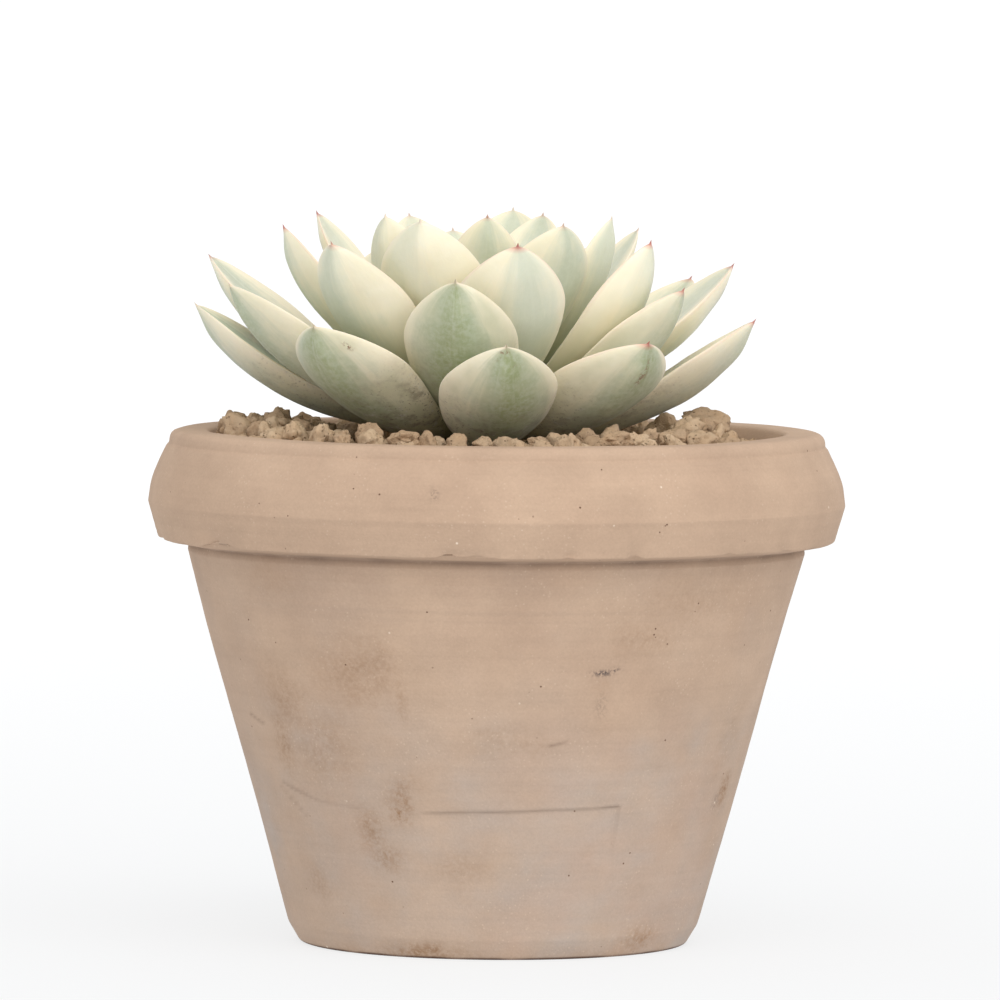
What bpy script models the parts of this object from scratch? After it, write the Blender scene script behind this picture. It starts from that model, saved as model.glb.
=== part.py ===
"""A potted succulent: a pale rosette in a tapered clay pot with a heavy rim, dressed with pumice gravel.

Sizes in this file are millimetres and degrees. MM turns them into metres where a mesh is made. +Z is up, the
front is -Y, and the origin is the centre of the pot's underside, so the pot stands on the plane z = 0.
"""
import math

import bmesh
import bpy
import numpy as np
from mathutils import Vector, noise

MM = 0.001

# ---- Driving dimensions ---------------------------------------------------------------------------------
RIM_RADIUS = 90.0            # widest line of the pot, the crisp lower edge of its rim
POT_HEIGHT = 132.0
BASE_RADIUS = 49.1           # flat ring that the pot stands on
WALL = 9.4                   # clay thickness of the wall, measured level
FLOOR = 10.0                 # clay thickness of the floor
DRAIN_RADIUS = 8.0
RIM_UNDERSIDE = 103.5        # height of the shelf below the rim
GAP = 0.3                    # clearance between pieces that touch

SOIL_TOP = 118.0             # potting mix ends here and gravel begins
GRAVEL_LEVEL = 127.8         # mean top of the gravel bed below the rosette

STEM_X = -5.0                # the plant stands a little left of the pot's centre
CROWN = 130.5                # height of the lowest leaf's foot on the stem
LEAVES = 46
GOLDEN_ANGLE = 137.508       # turn from one leaf to the next younger one
FIRST_LEAF_TURN = 5.0        # the oldest leaf points this far right of the front

# How the leaves change with age. Number 0 is the oldest and outermost, number 46 would be the next to open.
AGE = (0, 8, 13, 18, 24, 30, 36, 41, 46)
REACH = (68, 63, 60, 54, 43, 33, 21, 12, 5)          # tip's distance from the stem's axis
RISE = (28, 41, 48, 52, 55, 56, 55, 45, 36)          # tip's height above the crown
BEND = (46, 44, 42, 40, 36, 30, 24, 18, 12)          # how far the midrib turns upwards, foot to tip
WIDTH = (33, 33, 32.5, 31.5, 29, 25, 18, 11, 6)
THICKNESS = (7.0, 6.6, 6.2, 6.0, 5.2, 4.4, 3.2, 2.4, 1.7)

# Single leaves that grew a little off the rule: turn, reach, rise, width, roll and bend are added to it.
HABIT = {
    0: dict(turn=-1, rise=-2, width=-1, bend=6),
    1: dict(rise=-2, width=-2),
    2: dict(turn=-2, reach=4, rise=-1),
    3: dict(turn=8, reach=-1, rise=-3, width=1, roll=3),
    5: dict(turn=4, rise=-10, width=1, roll=-6, bend=6),
    6: dict(turn=4, reach=9, rise=-5),
    7: dict(turn=8, reach=9, width=-2),
    8: dict(turn=10, reach=2, rise=1, width=-4, bend=6),
    10: dict(turn=-6, reach=-4, rise=-5, width=-1),
    11: dict(turn=2, reach=8, rise=-6),
    13: dict(turn=-8, rise=3, width=-3),
    14: dict(turn=13, reach=14, rise=-4, width=-2),
    15: dict(turn=3, reach=10, rise=-6, width=-3),
    16: dict(turn=-5, reach=1, width=-1, roll=-4),
    18: dict(turn=9, reach=-3, rise=-1, width=-3, roll=4, bend=18),
    19: dict(turn=3, reach=-2, rise=1, width=-2),
    20: dict(turn=4, reach=-6, rise=-5, width=-9),
    21: dict(turn=-14, reach=3, rise=3, width=-2),
    22: dict(turn=-2, reach=-2, rise=-8, width=-2),
    23: dict(turn=-6, reach=-10, rise=2, width=-6),
    24: dict(turn=2, reach=-13, rise=2, width=-1),
    25: dict(reach=-2, rise=2),
    26: dict(turn=1, reach=2, width=-2),
    27: dict(reach=6, rise=1, width=-4),
    28: dict(turn=1, reach=9, rise=-3, width=-8),
    29: dict(turn=8, reach=-9, rise=-6, width=-10),
    30: dict(turn=14),
    31: dict(reach=-4, rise=-4, width=-4),
    32: dict(reach=-7, rise=-4, width=-2),
    33: dict(turn=2, reach=5),
    34: dict(turn=-5, rise=1, width=-2),
    35: dict(reach=-3, rise=-5, width=-1),
    36: dict(reach=-2, rise=-4),
    37: dict(reach=-2, rise=-3),
}

# Larger stones that lie on the gravel: centre x and y, then length, breadth and height.
STONES = (
    (54, -2, 14, 12, 7.5),
    (-57, -3, 9, 9, 8),
    (-50, -17, 11, 8, 7),
    (-23, -61, 8.5, 7, 5),
    (-3, -63, 7, 6, 4.5),
    (11, -63, 6.5, 6, 4.5),
    (30, -58, 8, 7, 6.5),
    (45, -43, 9, 7, 5),
)


# ---- Mesh helpers ---------------------------------------------------------------------------------------
def clear_scene():
    """Remove whatever objects the file opened with."""
    for item in list(bpy.data.objects):
        bpy.data.objects.remove(item, do_unlink=True)


def material(name, colour, roughness):
    """One Principled material with a plain colour, given as linear red, green and blue."""
    finish = bpy.data.materials.new(name)
    finish.use_nodes = True
    shader = finish.node_tree.nodes["Principled BSDF"]
    shader.inputs["Base Color"].default_value = (*colour, 1.0)
    shader.inputs["Roughness"].default_value = roughness
    shader.inputs["Metallic"].default_value = 0.0
    finish.diffuse_color = (*colour, 1.0)
    return finish


def add_object(name, points, faces, finish, sharp=40.0):
    """Make a closed mesh object from points in millimetres, with its faces pointing out."""
    mesh = bpy.data.meshes.new(name)
    mesh.from_pydata((np.asarray(points) * MM).tolist(), [], faces)
    work = bmesh.new()
    work.from_mesh(mesh)
    bmesh.ops.recalc_face_normals(work, faces=work.faces)
    work.to_mesh(mesh)
    work.free()
    mesh.shade_smooth()
    mesh.set_sharp_from_angle(angle=math.radians(sharp))
    mesh.materials.append(finish)
    item = bpy.data.objects.new(name, mesh)
    bpy.context.scene.collection.objects.link(item)
    return item


def circle(centre_x, radius, height, sectors):
    """A level ring of points, starting at the front."""
    turn = np.arange(sectors) * 2 * math.pi / sectors
    return np.stack([centre_x + radius * np.sin(turn), -radius * np.cos(turn), np.full(sectors, height)], axis=1)


def band_faces(rings, sectors, closed):
    """Triangles between neighbouring rings of points. A closed skin joins its last ring to its first."""
    faces = []
    for ring in range(rings if closed else rings - 1):
        above = (ring + 1) % rings
        for sector in range(sectors):
            beside = (sector + 1) % sectors
            corners = (ring * sectors + sector, ring * sectors + beside, above * sectors + beside,
                       above * sectors + sector)
            faces += [(corners[0], corners[1], corners[2]), (corners[0], corners[2], corners[3])]
    return faces


def add_loop_skin(name, rings, finish):
    """A body whose rings run round a closed section, as on a pot with a hole through it."""
    sectors = len(rings[0])
    return add_object(name, np.concatenate(rings), band_faces(len(rings), sectors, True), finish)


def add_capped_skin(name, rings, first_pole, last_pole, finish):
    """A body whose rings run between two poles, as on a stem or a leaf."""
    sectors = len(rings[0])
    points = np.concatenate([*rings, [first_pole], [last_pole]])
    faces = band_faces(len(rings), sectors, False)
    first, last = len(points) - 2, len(points) - 1
    top = (len(rings) - 1) * sectors
    for sector in range(sectors):
        beside = (sector + 1) % sectors
        faces += [(beside, sector, first), (top + sector, top + beside, last)]
    return add_object(name, points, faces, finish)


def through(values, at, places):
    """Smooth value at each place: cubic Hermite pieces through (at, values) with averaged slopes."""
    at, values, places = (np.asarray(item, float) for item in (at, values, places))
    slope = np.gradient(values, at)
    i = np.clip(np.searchsorted(at, places, side="right") - 1, 0, len(at) - 2)
    step = at[i + 1] - at[i]
    u = np.clip((places - at[i]) / step, 0, 1)
    ends = (2 * u**3 - 3 * u**2 + 1) * values[i] + (3 * u**2 - 2 * u**3) * values[i + 1]
    return ends + step * ((u**3 - 2 * u**2 + u) * slope[i] + (u**3 - u**2) * slope[i + 1])


# ---- Pot ------------------------------------------------------------------------------------------------
POT_SECTORS = 48
WALL_FOOT = (53.2, 6.5)      # radius and height where the base's rounded edge meets the straight wall
WALL_SLOPE = 0.28            # gain in radius for each millimetre up the wall


def wall_radius(height):
    """Radius of the pot's straight outer wall."""
    return WALL_FOOT[0] + WALL_SLOPE * (height - WALL_FOOT[1])


def inner_radius(height):
    """Radius of the pot's cavity: it follows the wall, then turns steeper behind the rim."""
    behind_rim = wall_radius(RIM_UNDERSIDE) - WALL
    if height < RIM_UNDERSIDE:
        return wall_radius(height) - WALL
    return behind_rim + 0.08 * (height - RIM_UNDERSIDE)


def pot_section():
    """The pot's section as (radius, height), from the drain hole out, up the outside and down the inside."""
    base_edge = [(BASE_RADIUS, 0.0), (51.0, 1.4), (52.2, 3.4), WALL_FOOT]
    shelf = [(wall_radius(RIM_UNDERSIDE), RIM_UNDERSIDE), (RIM_RADIUS - 2.6, RIM_UNDERSIDE + 0.9)]
    edge = RIM_UNDERSIDE + 10.0
    belly = [(RIM_RADIUS - 4.8 * share**1.6, edge + 1.7 + 12.5 * share) for share in (0.0, 0.3, 0.55, 0.8, 1.0)]
    lip = [(RIM_RADIUS - 5.4, POT_HEIGHT - 2.4), (RIM_RADIUS - 6.6, POT_HEIGHT - 0.7), (RIM_RADIUS - 8.4, POT_HEIGHT)]
    mouth = inner_radius(POT_HEIGHT)
    inside = [(mouth + 1.2, POT_HEIGHT), (mouth, POT_HEIGHT - 1.2), (inner_radius(RIM_UNDERSIDE), RIM_UNDERSIDE)]
    floor = [(inner_radius(FLOOR), FLOOR), (DRAIN_RADIUS, FLOOR), (DRAIN_RADIUS, 0.0)]
    return base_edge + shelf + [(RIM_RADIUS, edge)] + belly + lip + inside + floor


def build_pot():
    """The clay pot, thrown in one piece, with one drain hole through its floor."""
    clay = material("clay", (0.55, 0.42, 0.32), 0.85)
    rings = [circle(0.0, radius, height, POT_SECTORS) for radius, height in pot_section()]
    add_loop_skin("pot", rings, clay)


# ---- Stem and potting mix -------------------------------------------------------------------------------
STEM_SECTORS = 16
ROOT_TIP = 70.0
ROOT_STOCK = ((2.0, 78.0), (4.5, 92.0), (6.8, 106.0), (8.0, SOIL_TOP), (8.3, CROWN - 1.0))


def leaf_foot(number):
    """Distance of a leaf's foot from the stem's axis, and its height."""
    distance = float(through((9.0, 7.5, 3.0), (0, 20, LEAVES), number))
    return distance, CROWN + 0.5 + 0.52 * number


def build_stem():
    """The short woody stem: a tapering root stock below, leaf scars' column above, and a blunt growing tip."""
    wood = material("stem", (0.30, 0.21, 0.12), 0.8)
    stations = list(ROOT_STOCK)
    for number in (4, 14, 24, 34, 44):
        distance, height = leaf_foot(number)
        stations.append((distance - 1.0, height))
    rings = [circle(STEM_X, radius, height, STEM_SECTORS) for radius, height in stations]
    top = (STEM_X, 0.0, stations[-1][1] + 2.0)
    add_capped_skin("stem", rings, (STEM_X, 0.0, ROOT_TIP), top, wood)


def build_potting_mix():
    """The potting mix fills the pot up to the gravel and keeps a socket for the root stock."""
    earth = material("potting_mix", (0.07, 0.045, 0.03), 0.95)
    sectors = POT_SECTORS
    bottom, top = FLOOR + GAP, SOIL_TOP - GAP
    outside = [(inner_radius(height) - GAP, height) for height in (bottom, RIM_UNDERSIDE, top)]
    socket = [(radius + GAP, min(height, top)) for radius, height in reversed(ROOT_STOCK[:-1])]
    rings = [circle(0.0, radius, height, sectors) for radius, height in outside]
    rings += [circle(STEM_X, radius, height, sectors) for radius, height in socket]
    add_capped_skin("potting_mix", rings, (0.0, 0.0, bottom), (STEM_X, 0.0, ROOT_TIP - GAP), earth)


# ---- Gravel ---------------------------------------------------------------------------------------------
def gravel_height(x, y):
    """Top of the gravel bed: higher outside the leaves, lower near the back wall, lumpy like its grains."""
    lumps = noise.noise(Vector((x, y, 0.0)) / 6.0)
    outside_leaves = min(max((math.hypot(x - STEM_X, y) - 46.0) / 12.0, 0.0), 1.0)
    dip = 2.0 * max(y, 0.0) / RIM_RADIUS
    return GRAVEL_LEVEL + 0.8 * lumps + 2.6 * outside_leaves - dip


def build_gravel():
    """The bed of pumice grains, as one lumpy ring that lies on the potting mix around the stem."""
    pumice = material("pumice", (0.42, 0.30, 0.20), 0.95)
    outer = circle(0.0, inner_radius(SOIL_TOP) - GAP, 0.0, POT_SECTORS)
    hole = circle(STEM_X, ROOT_STOCK[-1][0] + 2 * GAP, 0.0, POT_SECTORS)
    rings = []
    for share in (0.0, 0.08, 0.2, 0.35, 0.5, 0.65, 0.8, 0.92, 1.0):
        ring = outer + (hole - outer) * share
        ring[:, 2] = [gravel_height(x, y) for x, y, _ in ring]
        rings.append(ring)
    under = [hole + (0, 0, SOIL_TOP), outer + (0, 0, SOIL_TOP)]
    add_loop_skin("gravel_bed", rings + under, pumice)


def build_stones():
    """Larger pumice stones: rounded lumps with a rough outline, each lying on the gravel bed."""
    pumice = material("pumice_stone", (0.46, 0.33, 0.22), 0.95)
    for number, (x, y, length, breadth, height) in enumerate(STONES, start=1):
        work = bmesh.new()
        bmesh.ops.create_icosphere(work, subdivisions=2, radius=0.5)
        for corner in work.verts:
            rough = 1.0 + 0.3 * noise.noise(corner.co * 3.0 + Vector((7.0 * number, 0.0, 0.0)))
            corner.co = Vector((corner.co.x * length, corner.co.y * breadth, corner.co.z * height)) * rough
        points = np.array([corner.co for corner in work.verts])
        faces = [[corner.index for corner in face.verts] for face in work.faces]
        work.free()
        near = [gravel_height(x + px, y + py) for px, py, _ in points]
        lift = max(level - pz for level, (_, _, pz) in zip(near, points) if pz < 0) + 3 * GAP
        add_object(f"pumice_stone_{number}", points + (x, y, lift), faces, pumice, sharp=60.0)


# ---- Leaves ---------------------------------------------------------------------------------------------
LEAF_RINGS = (0.0, 0.12, 0.27, 0.43, 0.58, 0.71, 0.83, 0.93)
BUD_LEAF_RINGS = (0.0, 0.2, 0.45, 0.68, 0.88)
LEAF_SIDES = 8
FIRST_BUD_LEAF = 38          # from this number on a leaf is small enough for the coarser rings
WIDEST_AT = 0.68             # share of the leaf's length where it is broadest
FOOT_SHARE = 0.24            # breadth of the foot as a share of the full breadth
CUP = 0.20                   # how far the margins stand above the midrib, as a share of the half breadth


def leaf_habit(number):
    """One leaf's sizes: the rule for its age, with its own habit added."""
    own = HABIT.get(number, {})
    leaf = {
        "turn": FIRST_LEAF_TURN - GOLDEN_ANGLE * number + own.get("turn", 0),
        "reach": float(through(REACH, AGE, number)) + own.get("reach", 0),
        "rise": float(through(RISE, AGE, number)) + own.get("rise", 0),
        "bend": float(through(BEND, AGE, number)) + own.get("bend", 0),
        "width": float(through(WIDTH, AGE, number)) + own.get("width", 0),
        "thickness": float(through(THICKNESS, AGE, number)),
        "roll": own.get("roll", 0),
    }
    leaf["foot"], leaf["foot_height"] = leaf_foot(number)
    return leaf


def midrib(leaf, along):
    """Distance from the stem's axis, height and slope of the midrib, an arc from the foot to the tip."""
    bend = math.radians(leaf["bend"])
    across = leaf["reach"] - leaf["foot"]
    up = CROWN + leaf["rise"] - leaf["foot_height"]
    chord_slope = math.atan2(up, across)
    radius = math.hypot(across, up) / (2 * math.sin(bend / 2))
    slope = chord_slope + bend * (along - 0.5)
    start = chord_slope - bend / 2
    distance = leaf["foot"] + radius * (np.sin(slope) - math.sin(start))
    height = leaf["foot_height"] + radius * (math.cos(start) - np.cos(slope))
    return distance, height, slope


def half_breadth(leaf, along):
    """Half the leaf's breadth: it swells from the foot to its broadest line, then closes in a blunt arch."""
    swell = np.sin(math.pi / 2 * np.clip(along / WIDEST_AT, 0, 1)) ** 1.35
    close = np.sin(math.pi / 2 * np.clip((1 - along) / (1 - WIDEST_AT), 0, 1)) ** 0.66
    share = np.where(along < WIDEST_AT, FOOT_SHARE + (1 - FOOT_SHARE) * swell, close)
    return leaf["width"] / 2 * share


def leaf_rings(leaf, along):
    """Rings of points round the leaf, which is cupped above and has a rounded keel below."""
    distance, height, slope = midrib(leaf, along)
    turn = math.radians(leaf["turn"])
    outward = np.array([math.sin(turn), -math.cos(turn), 0.0])
    sideways = np.array([math.cos(turn), math.sin(turn), 0.0])
    spine = distance[:, None] * outward + height[:, None] * np.array([0.0, 0.0, 1.0])
    face = np.stack([-np.sin(slope) * outward[0], -np.sin(slope) * outward[1], np.cos(slope)], axis=1)
    roll = math.radians(leaf["roll"]) * np.sin(math.pi / 2 * along)[:, None]
    across = np.cos(roll) * sideways + np.sin(roll) * face
    normal = np.cos(roll) * face - np.sin(roll) * sideways

    breadth = half_breadth(leaf, along)[:, None]
    body = leaf["thickness"] * through((0.45, 0.72, 1.0, 0.86, 0.42, 0.10), (0, 0.2, 0.5, 0.75, 0.92, 1), along)
    cup = CUP * through((0.0, 0.45, 1.0, 1.1), (0, 0.25, 0.6, 1), along)[:, None] * breadth
    angle = np.arange(LEAF_SIDES) * 2 * math.pi / LEAF_SIDES
    side, above = np.cos(angle), np.maximum(np.sin(angle), 0)
    below = np.maximum(-np.sin(angle), 0)
    section = 0.30 * above - 0.70 * (0.25 * below**3 + 0.75 * below)
    lift = cup * side**2 + body[:, None] * section
    return spine[:, None] + across[:, None] * (breadth * side)[..., None] + normal[:, None] * lift[..., None]


def build_leaves():
    """All leaves, from leaf_01, the oldest and lowest, to the youngest at the growing tip."""
    for number in range(LEAVES):
        flesh = material(f"leaf_{number + 1:02d}", (0.62, 0.60, 0.48), 0.55)
        leaf = leaf_habit(number)
        stations = np.array(BUD_LEAF_RINGS if number >= FIRST_BUD_LEAF else LEAF_RINGS)
        rings = leaf_rings(leaf, stations) + (STEM_X, 0.0, 0.0)
        tip = leaf_rings(leaf, np.array([1.0]))[0].mean(axis=0) + (STEM_X, 0.0, 0.0)
        add_capped_skin(f"leaf_{number + 1:02d}", list(rings), rings[0].mean(axis=0), tip, flesh)


clear_scene()
build_pot()
build_potting_mix()
build_stem()
build_gravel()
build_stones()
build_leaves()
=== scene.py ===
"""A potted succulent: a pale rosette in a tapered clay pot with a heavy rim, dressed with pumice gravel.

The frame's solids give the sizes. Shapes are worked out in millimetres and turned into metres by MM when a
mesh is made. +Z is up, the front is -Y, and the origin is the centre of the pot's underside.
"""

import math

import bmesh
import bpy
import numpy as np
from mathutils import Matrix, Vector


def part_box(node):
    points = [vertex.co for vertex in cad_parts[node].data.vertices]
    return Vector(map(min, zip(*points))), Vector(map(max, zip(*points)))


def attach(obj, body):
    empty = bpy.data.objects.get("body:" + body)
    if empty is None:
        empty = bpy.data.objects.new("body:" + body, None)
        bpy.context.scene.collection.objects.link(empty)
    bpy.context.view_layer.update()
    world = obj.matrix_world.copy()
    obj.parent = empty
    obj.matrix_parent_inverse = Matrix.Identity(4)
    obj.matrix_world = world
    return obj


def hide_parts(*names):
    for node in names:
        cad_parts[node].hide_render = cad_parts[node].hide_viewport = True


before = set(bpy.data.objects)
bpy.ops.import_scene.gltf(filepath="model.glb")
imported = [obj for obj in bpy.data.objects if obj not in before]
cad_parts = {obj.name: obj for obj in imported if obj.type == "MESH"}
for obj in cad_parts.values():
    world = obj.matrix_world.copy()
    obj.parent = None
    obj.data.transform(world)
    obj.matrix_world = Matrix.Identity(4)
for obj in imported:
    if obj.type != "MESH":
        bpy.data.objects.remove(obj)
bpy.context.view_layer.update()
MM = 0.001

# ---- Studio ---------------------------------------------------------------------------------------------
# A white table that runs out of sight and glows from within: painted light that fills in the pot's
# shadow, a little dimmer close to the pot as painted shade. Soft white light from all round and a broad key
# light from the front, seen by a long lens a little above the pot's rim.
LOOK_AT = Vector((0.0009, 0.0, 0.1142))
DISTANCE = 2.6
VIEW_WIDTH = 0.2582          # what the picture's width covers at the pot's axis
LOOKS_DOWN = math.radians(3.3)
CAMERA_ROLL = math.radians(0.5)
SENSOR = 36.0

lens = bpy.data.cameras.new("camera")
lens.sensor_width = SENSOR
lens.lens = SENSOR * DISTANCE / VIEW_WIDTH
lens.clip_end = 200.0
camera = bpy.data.objects.new("camera", lens)
camera.matrix_world = (Matrix.Translation(LOOK_AT) @ Matrix.Rotation(math.pi / 2 - LOOKS_DOWN, 4, "X")
                       @ Matrix.Rotation(CAMERA_ROLL, 4, "Z") @ Matrix.Translation((0.0, 0.0, DISTANCE)))
bpy.context.scene.collection.objects.link(camera)
bpy.context.scene.camera = camera
bpy.context.scene.view_settings.view_transform = "Standard"

sky = bpy.data.worlds.new("studio")
sky.use_nodes = True
sky.node_tree.nodes["Background"].inputs["Color"].default_value = (0.98, 0.99, 1.0, 1.0)
sky.node_tree.nodes["Background"].inputs["Strength"].default_value = 0.80
bpy.context.scene.world = sky

key = bpy.data.lights.new("key", "SUN")
key.energy = 1.7
key.angle = math.radians(75)
key.color = (1.0, 0.985, 0.96)
key_light = bpy.data.objects.new("key", key)
key_light.rotation_euler = (math.radians(48), 0.0, math.radians(15))
bpy.context.scene.collection.objects.link(key_light)

FLOOR_REACH = 40.0
floor_mesh = bpy.data.meshes.new("floor")
floor_mesh.from_pydata([(-FLOOR_REACH, -FLOOR_REACH, 0), (FLOOR_REACH, -FLOOR_REACH, 0),
                        (FLOOR_REACH, FLOOR_REACH, 0), (-FLOOR_REACH, FLOOR_REACH, 0)], [], [(0, 1, 2, 3)])
floor_paint = bpy.data.materials.new("white_floor")
floor_paint.use_nodes = True
paper = floor_paint.node_tree
# The floor glows as painted light that fills the pot's shadow on it, and glows less close to the pot as
# painted shade.
reach = paper.nodes.new("ShaderNodeVectorMath")
reach.operation = "LENGTH"
paper.links.new(paper.nodes.new("ShaderNodeTexCoord").outputs["Object"], reach.inputs[0])
floor_glow_dimmed_near_pot = paper.nodes.new("ShaderNodeMapRange")
floor_glow_dimmed_near_pot.inputs["From Min"].default_value, floor_glow_dimmed_near_pot.inputs["From Max"].default_value = 0.1, 1.8
floor_glow_dimmed_near_pot.inputs["To Min"].default_value, floor_glow_dimmed_near_pot.inputs["To Max"].default_value = 0.745, 0.84
paper.links.new(reach.outputs["Value"], floor_glow_dimmed_near_pot.inputs["Value"])
surface = paper.nodes["Principled BSDF"].inputs
paper.links.new(floor_glow_dimmed_near_pot.outputs[0], surface["Emission Strength"])
surface["Emission Color"].default_value = (1.0, 1.0, 1.0, 1.0)
surface["Base Color"].default_value = (0.16, 0.165, 0.17, 1.0)
surface["Roughness"].default_value = 0.9
surface["Specular IOR Level"].default_value = 0.1
floor_mesh.materials.append(floor_paint)
floor = bpy.data.objects.new("floor", floor_mesh)
bpy.context.scene.collection.objects.link(floor)

# ---- Pot ------------------------------------------------------------------------------------------------
# A thrown pot of unglazed clay, fired pale. The wall is pulled up in one piece and its top is folded out
# into a heavy rim; fine throwing lines run round it, lime has bloomed on it, and its edges are chipped from
# use.
RIM_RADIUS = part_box("pot")[1][0] / MM
POT_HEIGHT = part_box("pot")[1][2] / MM
SHELF = POT_HEIGHT - 28.5    # height of the rim's underside
WALL_SLOPE = 0.28            # gain in radius for each millimetre up the wall
WALL_FOOT = 51.4             # radius where the outer wall would meet the floor
CLAY = 9.4                   # thickness of the wall, measured level
FLOOR_CLAY = 10.0
DRAIN_RADIUS = 8.0
LINE_STEP = 0.55             # spacing of the rings on the outside, fine enough for throwing lines
INSIDE_STEP = 2.5

# The section's corners: radius, height, rounding, spacing of the rings that follow.
POT_CORNERS = (
    (DRAIN_RADIUS, 0.0, 0.8, INSIDE_STEP),
    (49.9, 0.0, 1.6, 0.5),
    (WALL_FOOT + WALL_SLOPE * 5.0, 5.0, 4.5, LINE_STEP),
    (WALL_FOOT + WALL_SLOPE * (SHELF - 2.4), SHELF - 2.4, 1.5, 0.4),
    (WALL_FOOT + WALL_SLOPE * SHELF - 0.9, SHELF - 0.4, 0.5, 0.4),
    (RIM_RADIUS - 2.6, SHELF + 0.9, 0.7, LINE_STEP),
    (RIM_RADIUS, SHELF + 10.0, 1.6, LINE_STEP),
    (RIM_RADIUS - 0.5, SHELF + 14.8, 14.0, LINE_STEP),
    (RIM_RADIUS - 1.6, SHELF + 18.0, 14.0, LINE_STEP),
    (RIM_RADIUS - 3.0, SHELF + 21.1, 14.0, LINE_STEP),
    (RIM_RADIUS - 4.6, SHELF + 24.4, 1.0, LINE_STEP),
    (RIM_RADIUS - 5.3, SHELF + 25.2, 0.8, LINE_STEP),
    (RIM_RADIUS - 5.6, POT_HEIGHT, 2.4, 0.6),
    (74.3, POT_HEIGHT, 1.8, INSIDE_STEP),
    (72.0, POT_HEIGHT - 4.0, 5.0, INSIDE_STEP),
    (WALL_FOOT + WALL_SLOPE * SHELF - CLAY, SHELF, 8.0, INSIDE_STEP),
    (WALL_FOOT + WALL_SLOPE * FLOOR_CLAY - CLAY, FLOOR_CLAY, 4.0, INSIDE_STEP),
    (DRAIN_RADIUS, FLOOR_CLAY, 1.0, INSIDE_STEP),
)


def lattice_noise(points, grain, seed):
    """Smooth noise from -1 to 1: random values on a cubic lattice, blended with 3t²-2t³."""
    lattice = np.random.default_rng(seed).uniform(-1.0, 1.0, (32, 32, 32))
    place = np.asarray(points) / grain
    cell = np.floor(place).astype(int)
    part = place - cell
    part = part * part * (3 - 2 * part)
    total = 0.0
    for corner in range(8):
        step = np.array([corner & 1, corner >> 1 & 1, corner >> 2 & 1])
        at = (cell + step) % 32
        weight = np.prod(np.where(step, part, 1 - part), axis=-1)
        total = total + weight * lattice[at[..., 0], at[..., 1], at[..., 2]]
    return total


def rise_between(value, low, high):
    """0 below low, 1 above high and 3t²-2t³ between them."""
    part = np.clip((value - low) / (high - low), 0.0, 1.0)
    return part * part * (3 - 2 * part)


def rounded_section(corners, arc_steps=5):
    """A closed section: straight runs between corners, each corner replaced by an arc of its rounding."""
    places = np.array([corner[:2] for corner in corners])
    section = []
    starts, ends = [], []
    for number, (radius, height, rounding, _) in enumerate(corners):
        here = places[number]
        back = places[number - 1] - here
        ahead = places[(number + 1) % len(corners)] - here
        back, ahead = back / np.linalg.norm(back), ahead / np.linalg.norm(ahead)
        half = math.acos(np.clip(back @ ahead, -1, 1)) / 2
        reach = rounding / math.tan(half)
        centre = here + (back + ahead) / np.linalg.norm(back + ahead) * rounding / math.sin(half)
        first, last = here + back * reach, here + ahead * reach
        share = np.linspace(0, 1, arc_steps + 1)[:, None]
        chord = first * (1 - share) + last * share - centre
        starts.append(first)
        ends.append(last)
        section.append(centre + chord / np.linalg.norm(chord, axis=1)[:, None] * rounding)
    points = []
    for number, (_, _, _, step) in enumerate(corners):
        points.append(section[number])
        run_end = starts[(number + 1) % len(corners)]
        run = run_end - ends[number]
        count = max(int(np.linalg.norm(run) / step), 1)
        share = (np.arange(1, count) / count)[:, None]
        points.append(ends[number] + run * share)
    return np.concatenate(points)


def grid_mesh(name, grid, closed_rows=False, poles=()):
    """A mesh object from a (rows, columns, 3) grid in millimetres. Columns close into rings, rows may too."""
    rows, columns = grid.shape[:2]
    row, column = np.meshgrid(np.arange(rows if closed_rows else rows - 1), np.arange(columns), indexing="ij")
    above, beside = (row + 1) % rows, (column + 1) % columns
    quads = np.stack([row * columns + column, row * columns + beside, above * columns + beside,
                      above * columns + column], axis=-1).reshape(-1, 4)
    points = grid.reshape(-1, 3)
    faces = quads.tolist()
    if len(poles):
        points = np.concatenate([points, poles])
        first, last = len(points) - 2, len(points) - 1
        ring = np.arange(columns)
        turned = (ring + 1) % columns
        top = (rows - 1) * columns
        faces += np.stack([turned, ring, np.full(columns, first)], axis=1).tolist()
        faces += np.stack([top + ring, top + turned, np.full(columns, last)], axis=1).tolist()
    mesh = bpy.data.meshes.new(name)
    mesh.from_pydata((points * MM).tolist(), [], faces)
    mesh.shade_smooth()
    item = bpy.data.objects.new(name, mesh)
    bpy.context.scene.collection.objects.link(item)
    return item


def paint(item, name, values):
    """Stores one number for each point of the mesh, for its material to read."""
    layer = item.data.attributes.new(name, "FLOAT", "POINT")
    layer.data.foreach_set("value", np.asarray(values, np.float32).ravel())


def node(tree, kind, values=None, **settings):
    """Adds a shader node. values maps an input's name or number to a number, colour or output."""
    item = tree.nodes.new(kind)
    for name, value in settings.items():
        setattr(item, name, value)
    for name, value in (values or {}).items():
        if isinstance(value, bpy.types.NodeSocket):
            tree.links.new(value, item.inputs[name])
        else:
            item.inputs[name].default_value = value
    return item


def blend_colour(tree, share, first, second, mode="MIX"):
    """Mixes two colours by a share and returns the mixed colour's output."""
    mixed = node(tree, "ShaderNodeMix", {0: share, 6: first, 7: second}, data_type="RGBA", blend_type=mode)
    return mixed.outputs[2]


def remap(tree, value, low, high, to_low=0.0, to_high=1.0):
    """Maps low..high to to_low..to_high, clamped, and returns the output."""
    limits = {"From Min": low, "From Max": high, "To Min": to_low, "To Max": to_high}
    return node(tree, "ShaderNodeMapRange", {"Value": value, **limits}).outputs[0]


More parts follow.
